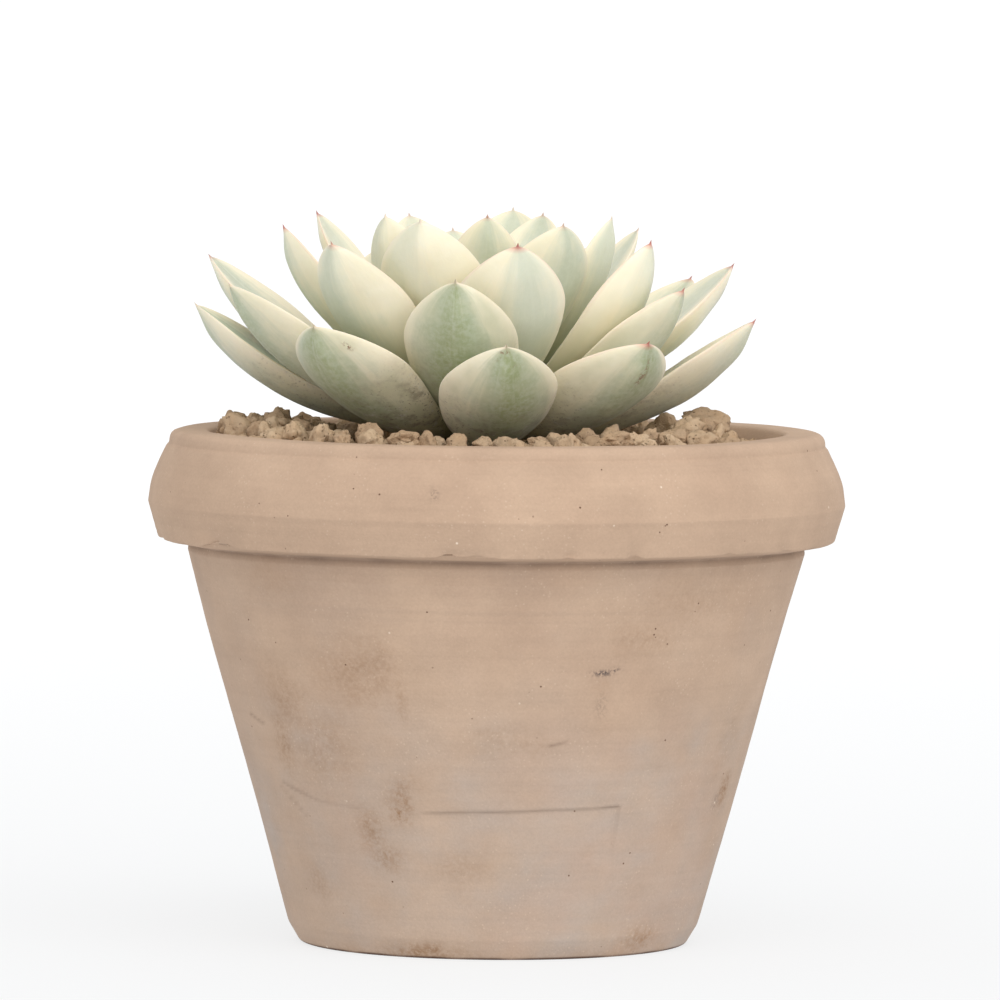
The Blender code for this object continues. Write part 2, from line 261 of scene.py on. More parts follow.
def maths(tree, operation, first, second=0.0):
    """One Math node's output."""
    return node(tree, "ShaderNodeMath", {0: first, 1: second}, operation=operation).outputs[0]


def painted(tree, name):
    """The output that reads one painted number."""
    return node(tree, "ShaderNodeAttribute", attribute_name=name).outputs["Fac"]


def clouds(tree, place, scale, detail=3.0, roughness=0.55):
    """A noise texture's output, around 0.5."""
    return node(tree, "ShaderNodeTexNoise", {"Vector": place, "Scale": scale, "Detail": detail,
                                             "Roughness": roughness}).outputs[0]


def times(tree, first, second):
    """The product of two numbers or outputs."""
    return maths(tree, "MULTIPLY", first, second)


def stretch(tree, place, scale):
    """Coordinates scaled by one factor for each axis."""
    return node(tree, "ShaderNodeMapping", {"Vector": place, "Scale": scale}).outputs[0]


def cells(tree, place, scale):
    """Distance to the nearest centre of a Voronoi texture's cells."""
    return node(tree, "ShaderNodeTexVoronoi", {"Vector": place, "Scale": scale}).outputs["Distance"]


def roughen(tree, shader, height, strength, depth):
    """Bumps the shader's normal by a height output. depth is in metres."""
    bump = node(tree, "ShaderNodeBump", {"Height": height, "Strength": strength, "Distance": depth})
    tree.links.new(bump.outputs[0], shader.inputs["Normal"])


def srgb(red, green, blue):
    """A colour given as 0 to 255 values, made linear."""
    share = np.array([red, green, blue]) / 255.0
    linear = np.where(share <= 0.04045, share / 12.92, ((share + 0.055) / 1.055) ** 2.4)
    return (*linear.tolist(), 1.0)


def new_material(name, roughness, specular=0.5):
    """A Principled material and its tree, shader and object coordinates."""
    finish = bpy.data.materials.new(name)
    finish.use_nodes = True
    tree = finish.node_tree
    shader = tree.nodes["Principled BSDF"]
    shader.inputs["Roughness"].default_value = roughness
    shader.inputs["Specular IOR Level"].default_value = specular
    place = node(tree, "ShaderNodeTexCoord").outputs["Object"]
    return finish, tree, shader, place


def fired_clay():
    """Pale fired clay: tan with a chalky bloom, throwing lines, brown stains, and specks of grog and lime."""
    finish, tree, shader, place = new_material("fired_clay", 0.88, 0.25)
    lines = clouds(tree, stretch(tree, place, (5.0, 5.0, 620.0)), 1.0, 4.0)
    brush = clouds(tree, stretch(tree, place, (22.0, 22.0, 210.0)), 1.0, 4.0, 0.6)
    cloud = clouds(tree, place, 34.0, 4.0)
    grain = clouds(tree, place, 1500.0, 2.0)
    colour = blend_colour(tree, remap(tree, cloud, 0.35, 0.65), srgb(190, 163, 140), srgb(181, 154, 132))
    bloom = times(tree, painted(tree, "bloom"), remap(tree, brush, 0.3, 0.62, 0.75, 1.0))
    patchy = remap(tree, clouds(tree, place, 26.0, 5.0, 0.6), 0.42, 0.58, 0.45, 1.0)
    bloom = times(tree, bloom, patchy)
    warmth = remap(tree, clouds(tree, place, 17.0, 4.0, 0.6), 0.52, 0.68, 0.0, 0.6)
    colour = blend_colour(tree, bloom, colour, srgb(177, 161, 149))
    stain = times(tree, painted(tree, "stain"),
                  remap(tree, clouds(tree, place, 800.0, 4.0, 0.7), 0.40, 0.60, 0.35, 1.15))
    colour = blend_colour(tree, stain, colour, srgb(146, 114, 86))
    colour = blend_colour(tree, times(tree, warmth, painted(tree, "bloom")), colour, srgb(187, 157, 136))
    soot = times(tree, painted(tree, "soot"), remap(tree, clouds(tree, place, 1300.0, 2.0), 0.42, 0.58))
    colour = blend_colour(tree, soot, colour, srgb(60, 56, 60))
    shade = maths(tree, "ADD", remap(tree, lines, 0.3, 0.7, 0.98, 1.02),
                  remap(tree, grain, 0.3, 0.7, -0.035, 0.035))
    mottle = clouds(tree, stretch(tree, place, (75.0, 75.0, 110.0)), 1.0, 6.0, 0.65)
    shade = maths(tree, "ADD", shade, remap(tree, mottle, 0.35, 0.65, -0.045, 0.03))
    grey = node(tree, "ShaderNodeCombineColor", {0: shade, 1: shade, 2: shade}).outputs[0]
    colour = blend_colour(tree, 1.0, colour, grey, "MULTIPLY")
    # Painted shade: dark lines under the rim's overhang, along the blank stamp's top and right edges and
    # round the foot; the same mask also holds real hairline scratches.
    shade_and_scratches = painted(tree, "shade_and_scratches")
    colour = blend_colour(tree, shade_and_scratches, colour, srgb(84, 62, 50))
    sand = cells(tree, place, 700.0)
    sandy = remap(tree, clouds(tree, place, 60.0, 2.0), 0.42, 0.62, 0.04, 0.40)
    colour = blend_colour(tree, times(tree, remap(tree, sand, 0.22, 0.10), sandy), colour,
                          srgb(208, 186, 164))
    grog = cells(tree, place, 260.0)
    pick = remap(tree, clouds(tree, place, 120.0, 1.0), 0.63, 0.66)
    colour = blend_colour(tree, times(tree, remap(tree, grog, 0.10, 0.05), pick), colour,
                          srgb(222, 204, 184))
    pores = cells(tree, place, 330.0)
    sparse = remap(tree, clouds(tree, place, 90.0, 1.0), 0.60, 0.64)
    pore = times(tree, remap(tree, pores, 0.10, 0.06), sparse)
    colour = blend_colour(tree, pore, colour, srgb(110, 84, 66))
    tree.links.new(colour, shader.inputs["Base Color"])
    height = maths(tree, "ADD", times(tree, lines, 0.5), times(tree, grain, 0.35))
    height = maths(tree, "SUBTRACT", height, times(tree, pore, 0.6))
    roughen(tree, shader, height, 0.5, 0.0004)
    return finish


# Stains and bloom, placed by turn from the front in degrees and height in millimetres, with their half
# widths in millimetres and their strength.
STAINS = (
    (-22, 40, 3.4, 4.6, 0.90), (-21, 45, 4.5, 3.0, 0.35), (-31, 33, 4.0, 6.0, 0.50),
    (-27, 26, 5.5, 3.5, 0.42), (-54, 56, 3.5, 9.0, 0.45), (-50, 65, 9.0, 9.0, 0.30),
    (-19.5, 68, 1.8, 5.5, 0.40), (-28, 74, 13.0, 9.0, 0.32), (69, 41, 2.8, 5.0, 0.85),
    (22, 71, 2.5, 3.5, 0.20), (4, 57, 12.0, 5.0, 0.22), (-8, 24, 7.0, 5.0, 0.22),
    (-52, 17, 5.0, 5.0, 0.30), (41, 92, 18.0, 8.0, 0.16), (63, 53, 6.0, 8.0, 0.20),
    (-45, 96, 10.0, 7.0, 0.14), (46, 4.5, 6.5, 3.0, 0.70), (-20, 2.2, 9.0, 2.2, 0.60),
    (-40, 54, 9.0, 9.0, 0.34), (30, 83, 10.0, 5.0, 0.22), (118, 60, 9.0, 12.0, 0.35),
    (150, 30, 6.0, 7.0, 0.40), (-125, 48, 8.0, 10.0, 0.35), (-160, 78, 12.0, 8.0, 0.25),
    (-95, 28, 6.0, 8.0, 0.30), (176, 55, 5.0, 9.0, 0.35),
)
BLOOMS = (
    (32, 54, 17.0, 8.0, 0.95), (-16, 54, 18.0, 9.0, 0.90), (-38, 24, 22.0, 14.0, 0.70),
    (10, 12, 34.0, 9.0, 0.75), (48, 24, 16.0, 16.0, 0.55), (-58, 84, 12.0, 16.0, 0.35),
    (58, 84, 10.0, 18.0, 0.30), (0, 40, 30.0, 9.0, 0.55), (100, 35, 26.0, 20.0, 0.70),
    (-110, 70, 22.0, 14.0, 0.60), (165, 22, 28.0, 14.0, 0.80), (-150, 44, 18.0, 12.0, 0.75),
    (135, 82, 16.0, 10.0, 0.55),
)
SOOT = (
    (22.0, 74.6, 2.6, 0.75, 1.0), (24.5, 75.4, 1.4, 0.6, 0.8), (22.5, 66.0, 1.6, 3.0, 0.25),
    (-10, 120.5, 1.0, 1.6, 0.5), (66, 39, 1.6, 2.5, 0.35), (158, 90, 2.2, 0.8, 0.8),
)
CHIPS = (
    (-54, 6.5, 2.0), (-80, 2.5, 1.0), (-66, 3.0, 0.6), (-5, 7.5, 0.9), (-8, 2.2, 0.6), (23.4, 1.6, 0.9),
    (42, 1.6, 0.9), (12, 1.3, 0.6), (58, 3.0, 0.6), (97, 6.0, 0.9), (140, 3.0, 0.7), (-171, 5.0, 0.8),
    (-118, 2.5, 0.7),
)
# Hairline scratches: turn and height of both ends, and how dark they are.
SCRATCHES = (
    (-66.0, 60.5, -61.0, 58.6, 0.8), (-58.0, 43.6, -46.0, 39.8, 0.5), (-46.0, 39.8, -33.0, 38.6, 0.4),
    (-60.0, 43.0, -50.0, 34.5, 0.3), (12.0, 56.0, 15.5, 57.0, 0.6), (150.0, 66.0, 168.0, 61.0, 0.5),
    (-140.0, 30.0, -128.0, 33.0, 0.5), (100.0, 74.0, 112.0, 70.0, 0.5),
)
# Runs of the pot's sectors: start, end (left out) and spacing, in degrees of turn from the front.
SECTORS = ((-24.0, 36.0, 0.55), (36.0, 96.0, 1.6), (96.0, 264.0, 4.0), (264.0, 335.5, 1.6))
STAMP_TURN = (-20.0, 31.0)   # the blank stamp's left and right edge
STAMP_TOP = 38.4
STAMP_DEPTH = 0.75


def spots(turn, points, marks):
    """The strongest of soft round marks: each is strength·exp(-d²), d being the distance in half widths."""
    radius = np.hypot(points[..., 0], points[..., 1])
    total = np.zeros(turn.shape)
    for at, height, wide, high, strength in marks:
        off = (turn - at + 180.0) % 360.0 - 180.0
        across = np.radians(off) * radius / wide
        up = (points[..., 2] - height) / high
        total = np.maximum(total, strength * np.exp(-(across**2 + up**2)))
    return total


def build_pot():
    """The section is turned about Z; each ring point then moves along its normal by wobble, throwing lines,
    the blank stamp's step and the chips on the rim's lower edge."""
    section = rounded_section(POT_CORNERS)
    along = np.roll(section, -1, axis=0) - np.roll(section, 1, axis=0)
    normal = np.stack([along[:, 1], -along[:, 0]], axis=1) / np.linalg.norm(along, axis=1)[:, None]
    turn = np.concatenate([np.arange(*run) for run in SECTORS])
    around = np.radians(turn)[None, :]
    radius, height = section[:, 0][:, None], section[:, 1][:, None]
    out = np.stack([np.sin(around), -np.cos(around), np.zeros_like(around)], axis=-1)
    up = np.array([0.0, 0.0, 1.0])
    grid = radius[..., None] * out + height[..., None] * up
    face = normal[:, 0][:, None, None] * out + normal[:, 1][:, None, None] * up

    outside = rise_between(normal[:, 0], 0.2, 0.6)[:, None] * np.ones_like(around)
    wound = np.stack([np.cos(around) * 3.0 + 0 * height, np.sin(around) * 3.0 + 0 * height,
                      height / 1.3 + 0 * around], axis=-1)
    lines = lattice_noise(wound, 1.0, 3) * 0.045 + lattice_noise(wound * (1, 1, 0.3), 1.0, 4) * 0.07
    ridges = 0.26 * np.exp(-((height - 90.6) / 0.5) ** 2) + 0.18 * np.exp(-((height - 88.4) / 0.45) ** 2)
    ridges = ridges + 0.10 * np.exp(-((height - 97.0) / 0.7) ** 2)
    fading = 0.5 + 0.5 * np.cos(around * 2 + 0.4)
    wobble = lattice_noise(grid, 38.0, 5) * 0.28 + lattice_noise(grid, 14.0, 6) * 0.06
    shift = outside * (lines * np.where(height > SHELF, 0.8, 0.35) + ridges * fading)
    shift = shift + wobble * rise_between(height, 1.0, 8.0)

    signed = (turn[None, :] + 180.0) % 360.0 - 180.0
    arc = np.radians(signed) * np.maximum(radius, 1.0)
    left = np.radians(STAMP_TURN[0]) * radius
    right = np.radians(STAMP_TURN[1]) * radius
    top = STAMP_TOP + 1.5 * (arc - left) / np.maximum(right - left, 1.0)
    inside = rise_between(top - height, 0.0, 0.45) * rise_between(right - arc, 0.0, 0.5)
    inside = inside * rise_between(arc - left, 0, 9)
    fade = np.exp(-np.minimum(top - height, right - arc + 1.0).clip(0) / 4.5)
    fade = fade * rise_between(height, 20.0, 30.0)
    shift = shift - outside * STAMP_DEPTH * inside * fade

    edge = np.exp(-((height - SHELF - 1.2) / 1.1) ** 2) * rise_between(radius, RIM_RADIUS - 6, RIM_RADIUS - 3)
    nibble = rise_between(lattice_noise(grid, 2.2, 8) + 0.5 * lattice_noise(grid, 0.9, 9), 0.45, 0.9)
    worn = 0.35 * nibble * edge
    torn = 0.75 + 0.4 * lattice_noise(grid, 2.0, 10)
    for at, wide, deep in CHIPS:
        away = ((turn[None, :] - at + 180.0) % 360.0 - 180.0) * math.pi / 180.0 * RIM_RADIUS / wide
        reach = 1.1 + 1.6 * deep
        flake = np.exp(-away**4) * np.exp(-(np.maximum(height - SHELF - 0.6, 0) / reach) ** 2)
        flake = flake * rise_between(radius, RIM_RADIUS - 6, RIM_RADIUS - 3) * (height > SHELF - 0.5)
        worn = worn + deep * flake * torn
    shift = shift - worn * (height < SHELF + 12)
    grid = grid + face * shift[..., None]
    grid[..., 2] = np.maximum(grid[..., 2], 0.0)

    pot = grid_mesh("clay_pot", grid, closed_rows=True)
    spoiled = 1.0 + 0.5 * lattice_noise(grid, 4.0, 11) + 0.4 * lattice_noise(grid, 1.6, 12)
    base_tint = 0.30 * np.exp(-(height / 2.2) ** 2) * rise_between(lattice_noise(grid, 9.0, 17), -0.2, 0.5)
    # Painted shade: a thin dark line on the body just under the rim's overhang.
    shade_and_scratches = 0.45 * np.exp(-((height - SHELF + 0.6) / 0.9) ** 2)
    shade_and_scratches = shade_and_scratches * rise_between(RIM_RADIUS - 5.5 - radius, 0, 1.0)
    # Painted shadow: thin dark lines just inside the blank stamp's top and right edges, where the recess's
    # step casts shade.
    stamp_top_shadow = np.exp(-((top - height - 0.25) / 0.3) ** 2) * rise_between(arc - left, 0, 9) * (arc < right)
    stamp_side_shadow = np.exp(-((right - arc - 0.25) / 0.3) ** 2) * (height < top)
    stamp_side_shadow = stamp_side_shadow * rise_between(height, 22.0, 34.0)
    shade_and_scratches = np.maximum(shade_and_scratches, outside * np.maximum(0.34 * stamp_top_shadow, 0.20 * stamp_side_shadow))
    # Painted shadow: a dark line round the foot where the pot meets the floor.
    shade_and_scratches = np.maximum(shade_and_scratches, 1.4 * rise_between(0.9 - height, 0.0, 0.7) * (radius > 45.0))
    for turn_a, height_a, turn_b, height_b, dark in SCRATCHES:
        run = (turn_b - turn_a) * np.radians(1) * radius
        away = ((turn[None, :] - turn_a + 180.0) % 360.0 - 180.0) * np.radians(1) * radius
        share = np.clip((away * run + (height - height_a) * (height_b - height_a))
                        / (run**2 + (height_b - height_a) ** 2), 0, 1)
        gap = np.hypot(away - share * run, height - height_a - share * (height_b - height_a))
        shade_and_scratches = np.maximum(shade_and_scratches, outside * 0.6 * dark * np.exp(-((gap / 0.42) ** 2)))
    paint(pot, "shade_and_scratches", np.clip(shade_and_scratches * (0.75 + 0.4 * lattice_noise(grid, 5.0, 18)), 0, 1))
    paint(pot, "stain", np.clip(spots(turn[None, :], grid, STAINS) * spoiled + base_tint, 0, 1))
    lime = 0.22 + 0.85 * rise_between(76.0 - height + 16 * lattice_noise(grid, 26.0, 13), 0.0, 46.0)
    lime = np.maximum(lime, spots(turn[None, :], grid, BLOOMS)) * (0.8 + 0.35 * lattice_noise(grid, 9.0, 14))
    paint(pot, "bloom", np.clip(lime * (height < SHELF), 0, 1))
    paint(pot, "soot", np.clip(spots(turn[None, :], grid, SOOT), 0, 1))
    pot.data.materials.append(fired_clay())
    return pot


pot = build_pot()
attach(pot, "root")
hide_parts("pot")

# ---- Potting mix ----------------------------------------------------------------------------------------
# Dark, crumbly mix of peat, bark and grit, pressed into the pot round the root stock. Only the drain hole
# and the cracks between the grains show it, so the frame's own solid stays and gets an earthy finish.


def dark_mix():
    """Crumbs of peat with a few paler bark and grit crumbs."""
    finish, tree, shader, place = new_material("dark_mix", 0.95, 0.15)
    crumbs = cells(tree, place, 420.0)
    cloud = clouds(tree, place, 160.0, 4.0)
    colour = blend_colour(tree, remap(tree, cloud, 0.35, 0.7), srgb(46, 34, 25), srgb(92, 70, 50))
    colour = blend_colour(tree, remap(tree, crumbs, 0.25, 0.05, 0.0, 0.4), colour, srgb(128, 102, 76))
    tree.links.new(colour, shader.inputs["Base Color"])
    height = maths(tree, "ADD", crumbs, cloud)
    roughen(tree, shader, height, 0.8, 0.001)
    return finish


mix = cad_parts["potting_mix"]
mix_finish = dark_mix()
for place in mix.material_slots:
    place.material = mix_finish

# ---- Stem -----------------------------------------------------------------------------------------------
# The short corky stem that carries the leaves: a root stock below, rings of scars where old leaves dropped,
# and the growing tip on top.
STEM_X = -5.0
CROWN = 130.5
LEAVES = 46
stem_low, stem_high = (np.array(corner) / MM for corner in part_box("stem"))
# Stations along the stem: share of its height, radius.
STEM_STATIONS = ((0.0, 0.4), (0.09, 2.0), (0.25, 4.5), (0.42, 6.8), (0.56, 8.0), (0.69, 8.2), (0.73, 7.6),
                 (0.79, 7.0), (0.85, 5.9), (0.92, 4.0), (0.98, 1.9), (1.0, 0.5))


def corky_stem():
    """Brown cork, streaked paler along the stem."""
    finish, tree, shader, place = new_material("corky_stem", 0.85, 0.2)
    fibre = clouds(tree, stretch(tree, place, (600.0, 600.0, 160.0)), 1.0, 5.0)
    colour = blend_colour(tree, remap(tree, fibre, 0.35, 0.65), srgb(96, 74, 52), srgb(152, 128, 92))
    tree.links.new(colour, shader.inputs["Base Color"])
    roughen(tree, shader, fibre, 0.7, 0.0006)
    return finish


def build_stem():
    """A turned profile through the stations, pinched by leaf scars: r·(1 - 0.06·|sin(scars)|) + noise."""
    share = np.linspace(0.0, 1.0, 120)
    radius = np.interp(share, *zip(*STEM_STATIONS))
    height = stem_low[2] + share * (stem_high[2] - stem_low[2])
    around = np.arange(64) * 2 * math.pi / 64
    out = np.stack([np.sin(around), -np.cos(around), 0 * around], axis=-1)
    scars = 1 - 0.06 * np.abs(np.sin(height[:, None] * 1.7 + np.sin(around * 3) * 0.5))
    grid = (radius[:, None] * scars)[..., None] * out
    grid = grid + np.array([STEM_X, 0, 0]) + height[:, None, None] * np.array([0, 0, 1.0])
    grid = grid + out * (lattice_noise(grid, 2.5, 21) * 0.25)[..., None]
    poles = [(STEM_X, 0, height[0] - 0.4), (STEM_X, 0, height[-1] + 0.1)]
    stem = grid_mesh("scarred_stem", grid, poles=np.array(poles))
    stem.data.materials.append(corky_stem())
    return stem


stem = build_stem()
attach(stem, "root")
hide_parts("stem")

# ---- Leaves ---------------------------------------------------------------------------------------------
# Thick, pointed leaves on a golden-angle spiral, the oldest outermost. They are cream with a pale
# blue-green middle, dusted with wax, and end in a small reddish spine; the oldest carry soil splashes and
# brown scars.
GOLDEN_ANGLE = 137.508
FIRST_LEAF_TURN = 5.0
AGE = (0, 8, 13, 18, 24, 30, 36, 41, 46)
REACH = (68, 63, 60, 54, 43, 33, 21, 12, 5)
RISE = (28, 41, 48, 52, 55, 56, 55, 45, 36)
BEND = (46, 44, 42, 40, 36, 30, 24, 18, 12)
WIDTH = (33, 33, 32.5, 31.5, 29, 25, 18, 11, 6)
THICKNESS = (7.0, 6.6, 6.2, 6.0, 5.2, 4.4, 3.2, 2.4, 1.7)
WIDEST_AT = 0.68
FOOT_SHARE = 0.24
CUP = 0.20

# Single leaves that grew a little off the rule, as the frame's solids did.
HABIT = {
    0: dict(turn=1, rise=-2, width=-3, bend=6),
    1: dict(rise=-2, width=-2),
    2: dict(turn=-2, reach=4, rise=-1),
    3: dict(turn=8, reach=-1, rise=-3, width=1, roll=3),
    5: dict(turn=4, rise=-10, width=1, roll=-6, bend=6),
    6: dict(turn=4, reach=9, rise=-5),
    7: dict(turn=8, reach=9, width=-2),
    8: dict(turn=10, reach=2, rise=1, width=-4, bend=6),
    10: dict(turn=-6, reach=-4, rise=-5, width=-1),
    11: dict(turn=2, reach=8, rise=-6),
    13: dict(turn=-8, rise=3, width=-3),
    14: dict(turn=13, reach=14, rise=-4, width=-2),
    15: dict(turn=3, reach=10, rise=-6, width=-3),
    16: dict(turn=-5, reach=1, width=-1, roll=-4),
    18: dict(turn=9, reach=-3, rise=-1, width=-3, roll=4, bend=18),
    19: dict(turn=3, reach=-2, rise=1, width=-2),
    20: dict(turn=4, reach=-6, rise=-5, width=-9),
    21: dict(turn=-14, reach=3, rise=3, width=-2),
    22: dict(turn=-2, reach=-2, rise=-8, width=-2),
    23: dict(turn=-6, reach=-10, rise=2, width=-6),
    24: dict(turn=2, reach=-13, rise=2, width=-1),
    25: dict(reach=-2, rise=2),
    26: dict(turn=1, reach=2, width=-2),
    27: dict(reach=6, rise=1, width=-4),
    28: dict(turn=1, reach=9, rise=-3, width=-8),
    29: dict(turn=8, reach=-9, rise=-6, width=-10),
    30: dict(turn=14),
    31: dict(reach=-4, rise=-4, width=-4),
    32: dict(reach=-7, rise=-4, width=-2),
    33: dict(turn=2, reach=5),
    34: dict(turn=-5, rise=1, width=-2),
    35: dict(reach=-3, rise=-5, width=-1),
    36: dict(reach=-2, rise=-4),
    37: dict(reach=-2, rise=-3),
}
# How strong the pale middle and its green mottling are, how far the middle leans to one side, how red the
# tip is and how soiled the foot is. Leaves that aren't listed draw theirs by chance.
LOOKS = {
    0: dict(middle=1.5, green=1.0, lean=0.20, blush=0.1, soil=0.9),
    1: dict(middle=0.8, green=0.5, lean=0.1, blush=0.4, soil=0.6),
    2: dict(middle=0.7, green=0.45, lean=0.0, blush=0.9, soil=0.5),
    3: dict(middle=1.6, green=1.0, lean=-0.20, blush=0.1, soil=1.0),
    4: dict(middle=0.8, green=0.5, lean=-0.1, blush=0.5, soil=0.6),
    5: dict(middle=1.25, green=0.9, lean=0.30, blush=0.8, soil=0.8),
    6: dict(middle=1.1, green=0.6, lean=0.0, blush=0.1, soil=0.6),
    7: dict(middle=0.8, green=0.4, lean=0.0, blush=0.8, soil=0.4),
    8: dict(middle=1.5, green=1.0, lean=-0.15, blush=0.1, soil=0.5),
    10: dict(middle=0.9, green=0.65, lean=0.30, blush=0.8, soil=0.1),
    11: dict(middle=1.3, green=0.65, lean=-0.10, blush=0.1, soil=0.2),
    13: dict(middle=0.85, green=0.12, lean=0.30, blush=0.9, soil=0.0),
    14: dict(middle=0.9, green=0.40, lean=0.0, blush=0.5, soil=0.0),
    15: dict(middle=0.8, green=0.20, lean=0.1, blush=1.0, soil=0.0),
    16: dict(middle=0.85, green=0.20, lean=-0.35, blush=0.5, soil=0.0),
    18: dict(middle=0.6, green=0.10, lean=0.2, blush=1.0, soil=0.0),
    19: dict(middle=0.95, green=0.25, lean=-0.2, blush=0.9, soil=0.0),
    21: dict(middle=0.5, green=0.10, lean=-0.65, blush=0.1, soil=0.0),
    24: dict(middle=0.6, green=0.15, lean=-0.5, blush=0.1, soil=0.0),
    26: dict(middle=1.0, green=0.25, lean=0.30, blush=0.3, soil=0.0),
    27: dict(middle=0.7, green=0.20, lean=0.0, blush=1.0, soil=0.0),
}
RINGS, SIDES = 64, 56


def through(values, at, places):
    """Smooth value at each place: cubic Hermite pieces through (at, values) with averaged slopes."""
    at, values, places = (np.asarray(item, float) for item in (at, values, places))
    slope = np.gradient(values, at)
    i = np.clip(np.searchsorted(at, places, side="right") - 1, 0, len(at) - 2)
    step = at[i + 1] - at[i]
    u = np.clip((places - at[i]) / step, 0, 1)
    ends = (2 * u**3 - 3 * u**2 + 1) * values[i] + (3 * u**2 - 2 * u**3) * values[i + 1]
    return ends + step * ((u**3 - 2 * u**2 + u) * slope[i] + (u**3 - u**2) * slope[i + 1])


def leaf_habit(number):
    """One leaf's sizes: the rule for its age, with its own habit added."""
    own = HABIT.get(number, {})
    rules = {"reach": REACH, "rise": RISE, "bend": BEND, "width": WIDTH, "thickness": THICKNESS}
    leaf = {name: float(through(rule, AGE, number)) + own.get(name, 0) for name, rule in rules.items()}
    leaf["turn"] = math.radians(FIRST_LEAF_TURN - GOLDEN_ANGLE * number + own.get("turn", 0))
    leaf["roll"] = math.radians(own.get("roll", 0))
    leaf["foot"] = float(through((9.0, 7.5, 3.0), (0, 20, LEAVES), number))
    leaf["foot_height"] = CROWN + 0.5 + 0.52 * number
    return leaf


def leaf_grid(leaf, number):
    """The leaf as rings round an arc-shaped midrib.

    A ring's point at angle q stands half the breadth times cos q to the side, and its height above the
    midrib is cup·cos²q, plus 0.3 of the thickness times sin q above or 0.7 below, plus a keel under the
    tip. The breadth swells as sin^1.35 to its widest line and closes as sin^0.66; past the tip a thin
    spine runs on and tapers.
    """
    spine_share = 1.3 / math.hypot(leaf["reach"] - leaf["foot"], leaf["rise"])
    blade, tip = np.linspace(0, 1, RINGS), np.array([0.2, 0.5, 0.8, 1])
    along = np.concatenate([1 - (1 - blade) ** 1.35, 1 + spine_share * tip])
    body = np.minimum(along, 1.0)
    bend = math.radians(leaf["bend"])
    across, up = leaf["reach"] - leaf["foot"], CROWN + leaf["rise"] - leaf["foot_height"]
    chord = math.atan2(up, across)
    radius = math.hypot(across, up) / (2 * math.sin(bend / 2))
    slope = chord + bend * (along - 0.5)
    start = chord - bend / 2
    outward = np.array([math.sin(leaf["turn"]), -math.cos(leaf["turn"]), 0.0])
    sideways = np.array([math.cos(leaf["turn"]), math.sin(leaf["turn"]), 0.0])
    upward = np.array([0.0, 0.0, 1.0])
    midrib = ((leaf["foot"] + radius * (np.sin(slope) - math.sin(start)))[:, None] * outward
              + (leaf["foot_height"] + radius * (math.cos(start) - np.cos(slope)))[:, None] * upward)
    face = -np.sin(slope)[:, None] * outward + np.cos(slope)[:, None] * upward
    roll = leaf["roll"] * np.sin(math.pi / 2 * body)[:, None]
    side_way = np.cos(roll) * sideways + np.sin(roll) * face
    normal = np.cos(roll) * face - np.sin(roll) * sideways

    swell = FOOT_SHARE + (1 - FOOT_SHARE) * np.sin(math.pi / 2 * np.clip(body / WIDEST_AT, 0, 1)) ** 1.35
    close = np.sin(math.pi / 2 * np.clip((1 - body) / (1 - WIDEST_AT), 0, 1)) ** 0.66
    spine = 0.42 * np.clip(1 - (along - 1) / spine_share, 0.04, 1) * rise_between(along, 0.93, 1.0)
    breadth = leaf["width"] / 2 * np.where(body < WIDEST_AT, swell, close)
    breadth = np.sqrt(breadth**2 + spine**2)
    thick = through((0.45, 0.72, 1.0, 0.86, 0.42, 0.10), (0, 0.2, 0.5, 0.75, 0.92, 1), body)
    thick = np.where(along > 1, 1.3 * spine, leaf["thickness"] * thick)
    q = np.arange(SIDES) * 2 * math.pi / SIDES
    side, above, below = np.cos(q), np.maximum(np.sin(q), 0), np.maximum(-np.sin(q), 0)
    cup = CUP * through((0.0, 0.45, 1.0, 1.1), (0, 0.25, 0.6, 1), body) * breadth
    keel = 0.16 * leaf["thickness"] * rise_between(body, 0.55, 0.9) * rise_between(1 - body, 0, 0.12)
    lift = cup[:, None] * side**2 + thick[:, None] * (0.30 * above - 0.70 * (0.25 * below**3 + 0.75 * below))
    lift = lift - keel[:, None] * np.exp(-(side / 0.22) ** 2) * (below > 0)
    grid = midrib[:, None] + side_way[:, None] * (breadth[:, None] * side)[..., None]
    grid = grid + normal[:, None] * lift[..., None]
    full = (breadth / (leaf["width"] / 2))[:, None]
    where = grid + 50.0 * number
    drift = lattice_noise(where, 11.0, 31) * 0.35 + lattice_noise(where, 4.5, 32) * 0.10
    grid = grid + normal[:, None] * (drift * full)[..., None]
    grid = grid + np.array([STEM_X, 0.0, 0.0])
    return grid, along, side, below


